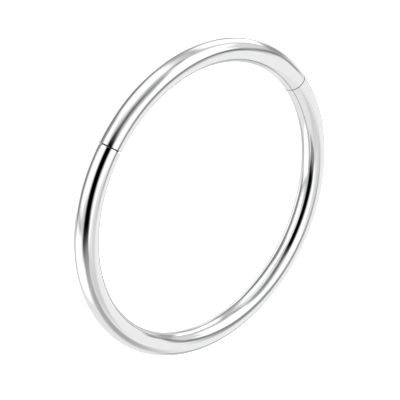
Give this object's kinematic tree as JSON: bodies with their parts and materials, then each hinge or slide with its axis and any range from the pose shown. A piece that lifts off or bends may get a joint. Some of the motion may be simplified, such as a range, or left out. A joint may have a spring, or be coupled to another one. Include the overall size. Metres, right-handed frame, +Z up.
{
  "type": "hinged segment ring",
  "caption": "Polished round-wire piercing ring, closed, with a segment that swings out on a small hinge pin and shuts over a clasp tongue.",
  "frame": {"origin": "bottom centre of the ring's box: on the surface that it lies on, under the middle of the hole", "axes": "+Z up along the ring's own axis; the hinged segment is on the -Y side, its hinge at the -X end and its clasp at the +X end"},
  "size_m": [0.0164, 0.0164, 0.0012],
  "materials": {
    "polished_wire": "mirror polished surgical steel",
    "pin_steel": "satin"
  },
  "bodies": {
    "ring": {"ring_body": "polished_wire", "hinge_pin": "pin_steel"},
    "segment": {"hinged_segment": "polished_wire"}
  },
  "joints": [
    {"name": "segment_hinge", "type": "hinge", "parent": "ring", "child": "segment", "pos_m": [-0.00661, -0.00442, 0.0006], "axis": [0, 0, -1], "range_deg": [0, 90]}
  ]
}
